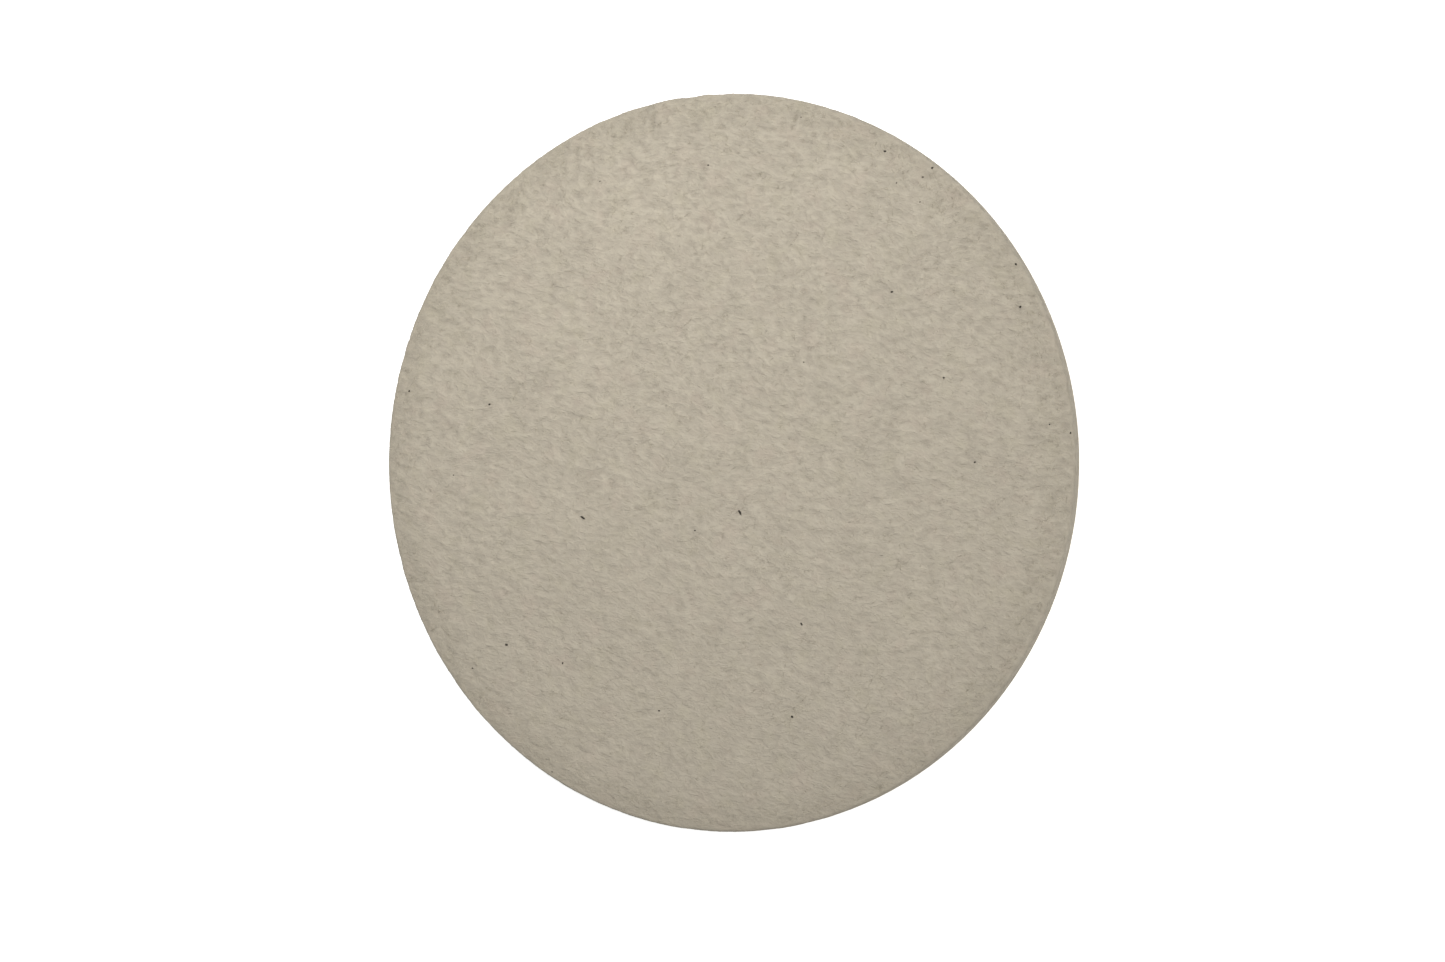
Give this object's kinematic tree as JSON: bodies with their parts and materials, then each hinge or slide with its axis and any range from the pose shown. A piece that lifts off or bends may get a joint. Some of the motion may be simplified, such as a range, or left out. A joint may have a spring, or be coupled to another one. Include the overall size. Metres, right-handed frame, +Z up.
{
  "type": "felt polishing wheel",
  "caption": "Round pressed-felt polishing disc with a softly rolled edge, on a self-adhesive back covered by a split paper liner.",
  "frame": {"origin": "under the disc's centre, on the outer face of the paper liner that it lies on", "axes": "+Z up through the disc, out of the polishing face; +Y along the liner's slit; +X to the right half of the liner"},
  "size_m": [0.1524, 0.1524, 0.0035],
  "materials": {
    "wool_felt": "matte",
    "tape_adhesive": "gloss",
    "tape_film": "gloss",
    "liner_paper": "satin"
  },
  "bodies": {
    "pad": {"felt_disc": "wool_felt", "felt_side_adhesive": "tape_adhesive", "tape_film": "tape_film", "plate_side_adhesive": "tape_adhesive"},
    "liner_left": {"release_liner_left": "liner_paper"},
    "liner_right": {"release_liner_right": "liner_paper"}
  },
  "joints": [
    {"name": "peel_left", "type": "hinge", "parent": "pad", "child": "liner_left", "pos_m": [-0.0762, 0, 0.00012], "axis": [0, 1, 0], "range_deg": [0, 180]},
    {"name": "peel_right", "type": "hinge", "parent": "pad", "child": "liner_right", "pos_m": [0.0762, 0, 0.00012], "axis": [0, -1, 0], "range_deg": [0, 180]}
  ]
}
